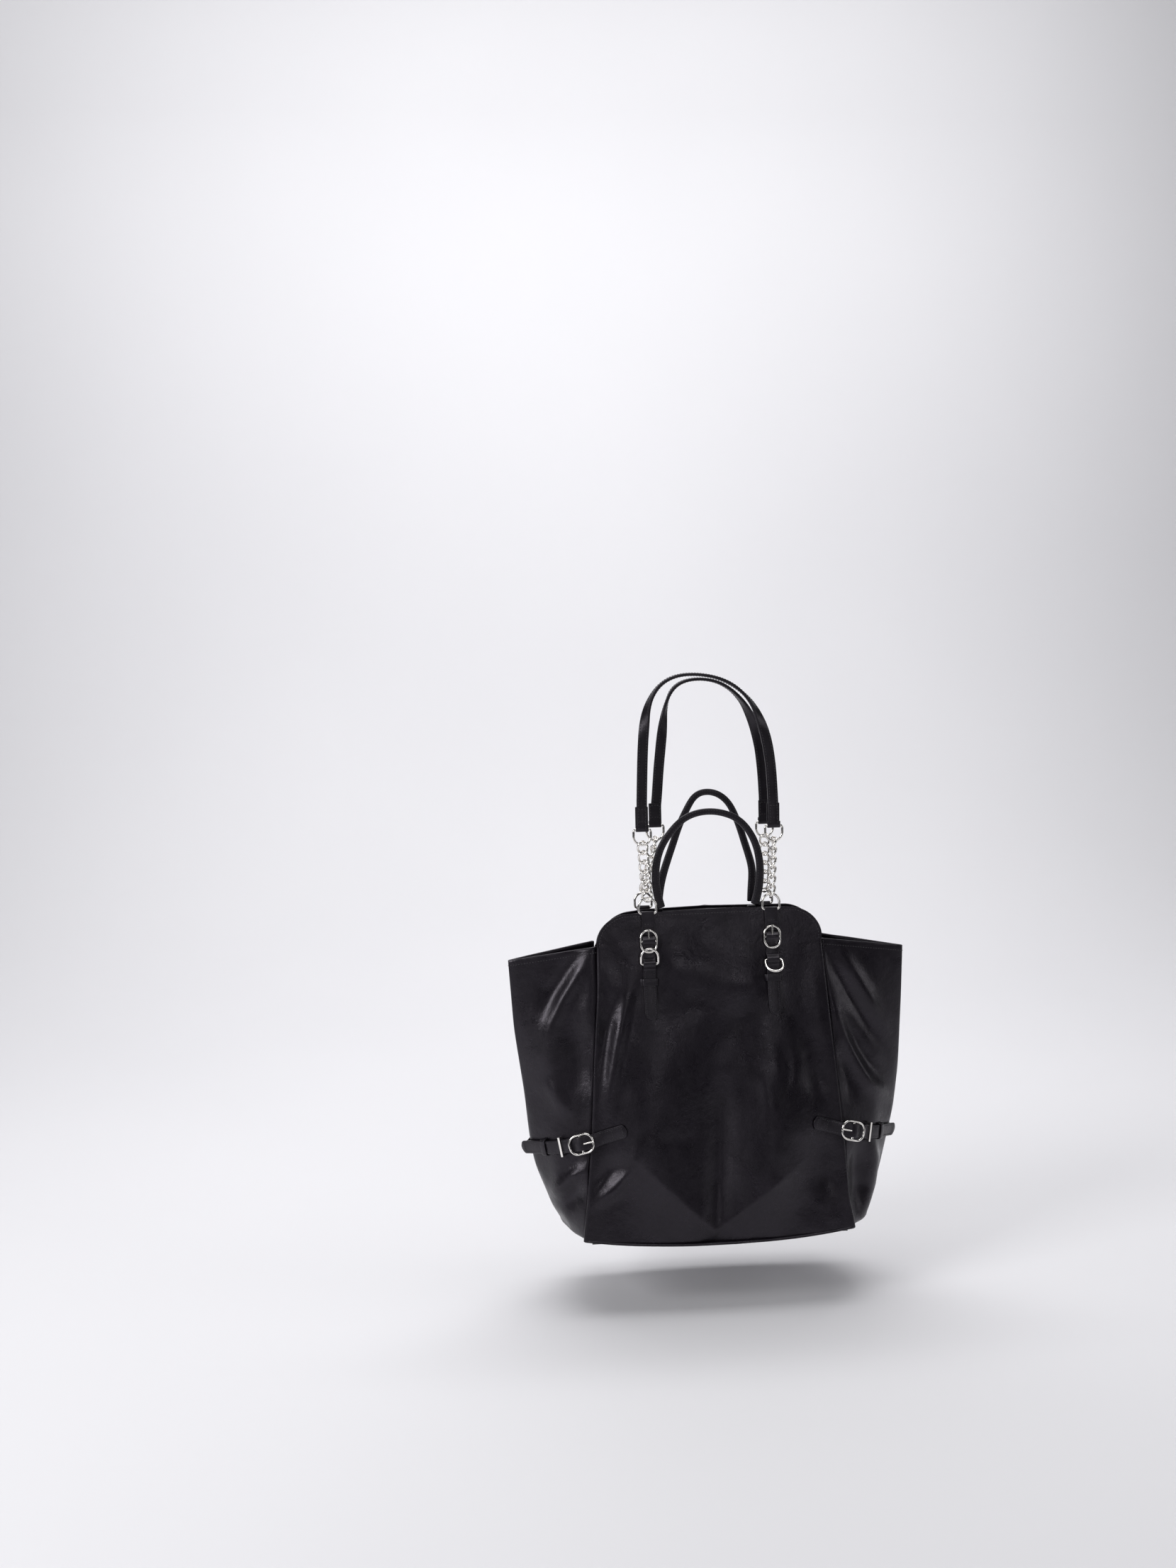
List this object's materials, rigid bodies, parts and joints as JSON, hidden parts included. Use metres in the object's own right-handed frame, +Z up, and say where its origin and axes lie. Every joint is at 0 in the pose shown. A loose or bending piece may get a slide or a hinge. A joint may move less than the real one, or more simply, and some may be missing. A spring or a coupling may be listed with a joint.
{
  "type": "tote bag",
  "caption": "Winged leather tote bag with chain-and-leather shoulder straps, short handles, buckled tabs with rings and buckled side belts.",
  "frame": {"origin": "middle of the base, on the surface that the bag stands on", "axes": "+Z up, +X to the right seen from the front, -Y the front"},
  "size_m": [0.4786, 0.15, 0.658],
  "materials": {
    "shell_leather": "fine grain, soft sheen",
    "trim_leather": "smooth, stitched edges",
    "strap_leather": "smooth, dressed edges",
    "lining_cloth": "plain woven twill",
    "stiffener": "bonded board",
    "hardware": "polished nickel"
  },
  "bodies": {
    "bag": {"front_panel": "shell_leather", "back_panel": "shell_leather", "left_gusset": "shell_leather", "right_gusset": "shell_leather", "base_panel": "shell_leather", "base_board": "stiffener", "front_facing": "trim_leather", "back_facing": "trim_leather", "lining": "lining_cloth", "snap_socket": "hardware", "snap_stud": "hardware", "front_left_tab": "trim_leather", "front_left_buckle": "hardware", "front_right_tab": "trim_leather", "front_right_buckle": "hardware", "front_tab_chapes": "trim_leather", "front_tab_keepers": "trim_leather", "front_handle_ends": "strap_leather", "back_left_tab": "trim_leather", "back_left_buckle": "hardware", "back_right_tab": "trim_leather", "back_right_buckle": "hardware", "back_tab_chapes": "trim_leather", "back_tab_keepers": "trim_leather", "back_handle_ends": "strap_leather", "left_belt": "trim_leather", "left_belt_chape": "trim_leather", "left_belt_buckle": "hardware", "right_belt": "trim_leather", "right_belt_chape": "trim_leather", "right_belt_buckle": "hardware", "left_belt_bridge": "hardware", "right_belt_bridge": "hardware", "belt_keepers": "trim_leather"},
    "front_rings": {"front_left_top_ring": "hardware", "front_right_top_ring": "hardware"},
    "front_chains": {"front_left_chain": "hardware", "front_right_chain": "hardware"},
    "front_shoulder_strap": {"front_strap": "strap_leather", "front_left_strap_ring": "hardware", "front_right_strap_ring": "hardware"},
    "front_carry_handle": {"front_handle": "strap_leather"},
    "front_left_low_d_ring": {"front_left_low_ring": "hardware"},
    "front_left_tab_prong": {"front_left_prong": "hardware"},
    "front_right_low_d_ring": {"front_right_low_ring": "hardware"},
    "front_right_tab_prong": {"front_right_prong": "hardware"},
    "back_rings": {"back_left_top_ring": "hardware", "back_right_top_ring": "hardware"},
    "back_chains": {"back_left_chain": "hardware", "back_right_chain": "hardware"},
    "back_shoulder_strap": {"back_strap": "strap_leather", "back_left_strap_ring": "hardware", "back_right_strap_ring": "hardware"},
    "back_carry_handle": {"back_handle": "strap_leather"},
    "back_left_low_d_ring": {"back_left_low_ring": "hardware"},
    "back_left_tab_prong": {"back_left_prong": "hardware"},
    "back_right_low_d_ring": {"back_right_low_ring": "hardware"},
    "back_right_tab_prong": {"back_right_prong": "hardware"},
    "left_side_prong": {"left_belt_prong": "hardware"},
    "right_side_prong": {"right_belt_prong": "hardware"}
  },
  "joints": [
    {"name": "front_ring_swing", "type": "hinge", "parent": "bag", "child": "front_rings", "pos_m": [0, -0.02066, 0.37849], "axis": [1, 0, 0], "range_deg": [0, 80]},
    {"name": "front_chain_swing", "type": "hinge", "parent": "front_rings", "child": "front_chains", "pos_m": [0, -0.02066, 0.39669], "axis": [1, 0, 0], "range_deg": [-2.5, 50]},
    {"name": "front_strap_swing", "type": "hinge", "parent": "front_chains", "child": "front_shoulder_strap", "pos_m": [0, -0.02066, 0.45919], "axis": [1, 0, 0], "range_deg": [0, 15]},
    {"name": "front_handle_swing", "type": "hinge", "parent": "bag", "child": "front_carry_handle", "pos_m": [0, -0.0112, 0.38413], "axis": [1, 0, 0], "range_deg": [-8, 30]},
    {"name": "front_left_low_ring_flip", "type": "hinge", "parent": "bag", "child": "front_left_low_d_ring", "pos_m": [-0.073, -0.03131, 0.32043], "axis": [-1, 0, 0], "range_deg": [-160, 0]},
    {"name": "front_left_prong_lift", "type": "hinge", "parent": "bag", "child": "front_left_tab_prong", "pos_m": [-0.073, -0.02673, 0.34654], "axis": [1, 0, 0], "range_deg": [0, 50]},
    {"name": "front_right_low_ring_flip", "type": "hinge", "parent": "bag", "child": "front_right_low_d_ring", "pos_m": [0.073, -0.03131, 0.32043], "axis": [-1, 0, 0], "range_deg": [-39, 121]},
    {"name": "front_right_prong_lift", "type": "hinge", "parent": "bag", "child": "front_right_tab_prong", "pos_m": [0.073, -0.02673, 0.34654], "axis": [1, 0, 0], "range_deg": [0, 50]},
    {"name": "back_ring_swing", "type": "hinge", "parent": "bag", "child": "back_rings", "pos_m": [0, 0.02066, 0.37849], "axis": [-1, 0, 0], "range_deg": [0, 80]},
    {"name": "back_chain_swing", "type": "hinge", "parent": "back_rings", "child": "back_chains", "pos_m": [0, 0.02066, 0.39669], "axis": [-1, 0, 0], "range_deg": [-2.5, 50]},
    {"name": "back_strap_swing", "type": "hinge", "parent": "back_chains", "child": "back_shoulder_strap", "pos_m": [0, 0.02066, 0.45919], "axis": [-1, 0, 0], "range_deg": [0, 15]},
    {"name": "back_handle_swing", "type": "hinge", "parent": "bag", "child": "back_carry_handle", "pos_m": [0, 0.0112, 0.38413], "axis": [-1, 0, 0], "range_deg": [-2, 84]},
    {"name": "back_left_low_ring_flip", "type": "hinge", "parent": "bag", "child": "back_left_low_d_ring", "pos_m": [0.073, 0.03131, 0.32043], "axis": [1, 0, 0], "range_deg": [0, 160]},
    {"name": "back_left_prong_lift", "type": "hinge", "parent": "bag", "child": "back_left_tab_prong", "pos_m": [0.073, 0.02673, 0.34654], "axis": [-1, 0, 0], "range_deg": [0, 50]},
    {"name": "back_right_low_ring_flip", "type": "hinge", "parent": "bag", "child": "back_right_low_d_ring", "pos_m": [-0.073, 0.03131, 0.32043], "axis": [1, 0, 0], "range_deg": [0, 160]},
    {"name": "back_right_prong_lift", "type": "hinge", "parent": "bag", "child": "back_right_tab_prong", "pos_m": [-0.073, 0.02673, 0.34654], "axis": [-1, 0, 0], "range_deg": [0, 50]},
    {"name": "left_side_prong_lift", "type": "hinge", "parent": "bag", "child": "left_side_prong", "pos_m": [-0.1596, -0.05839, 0.11906], "axis": [0.2221, -0.2231, -0.9492], "range_deg": [0, 50]},
    {"name": "right_side_prong_lift", "type": "hinge", "parent": "bag", "child": "right_side_prong", "pos_m": [0.1596, -0.05839, 0.11906], "axis": [0.2221, 0.2231, 0.9492], "range_deg": [0, 50]}
  ]
}
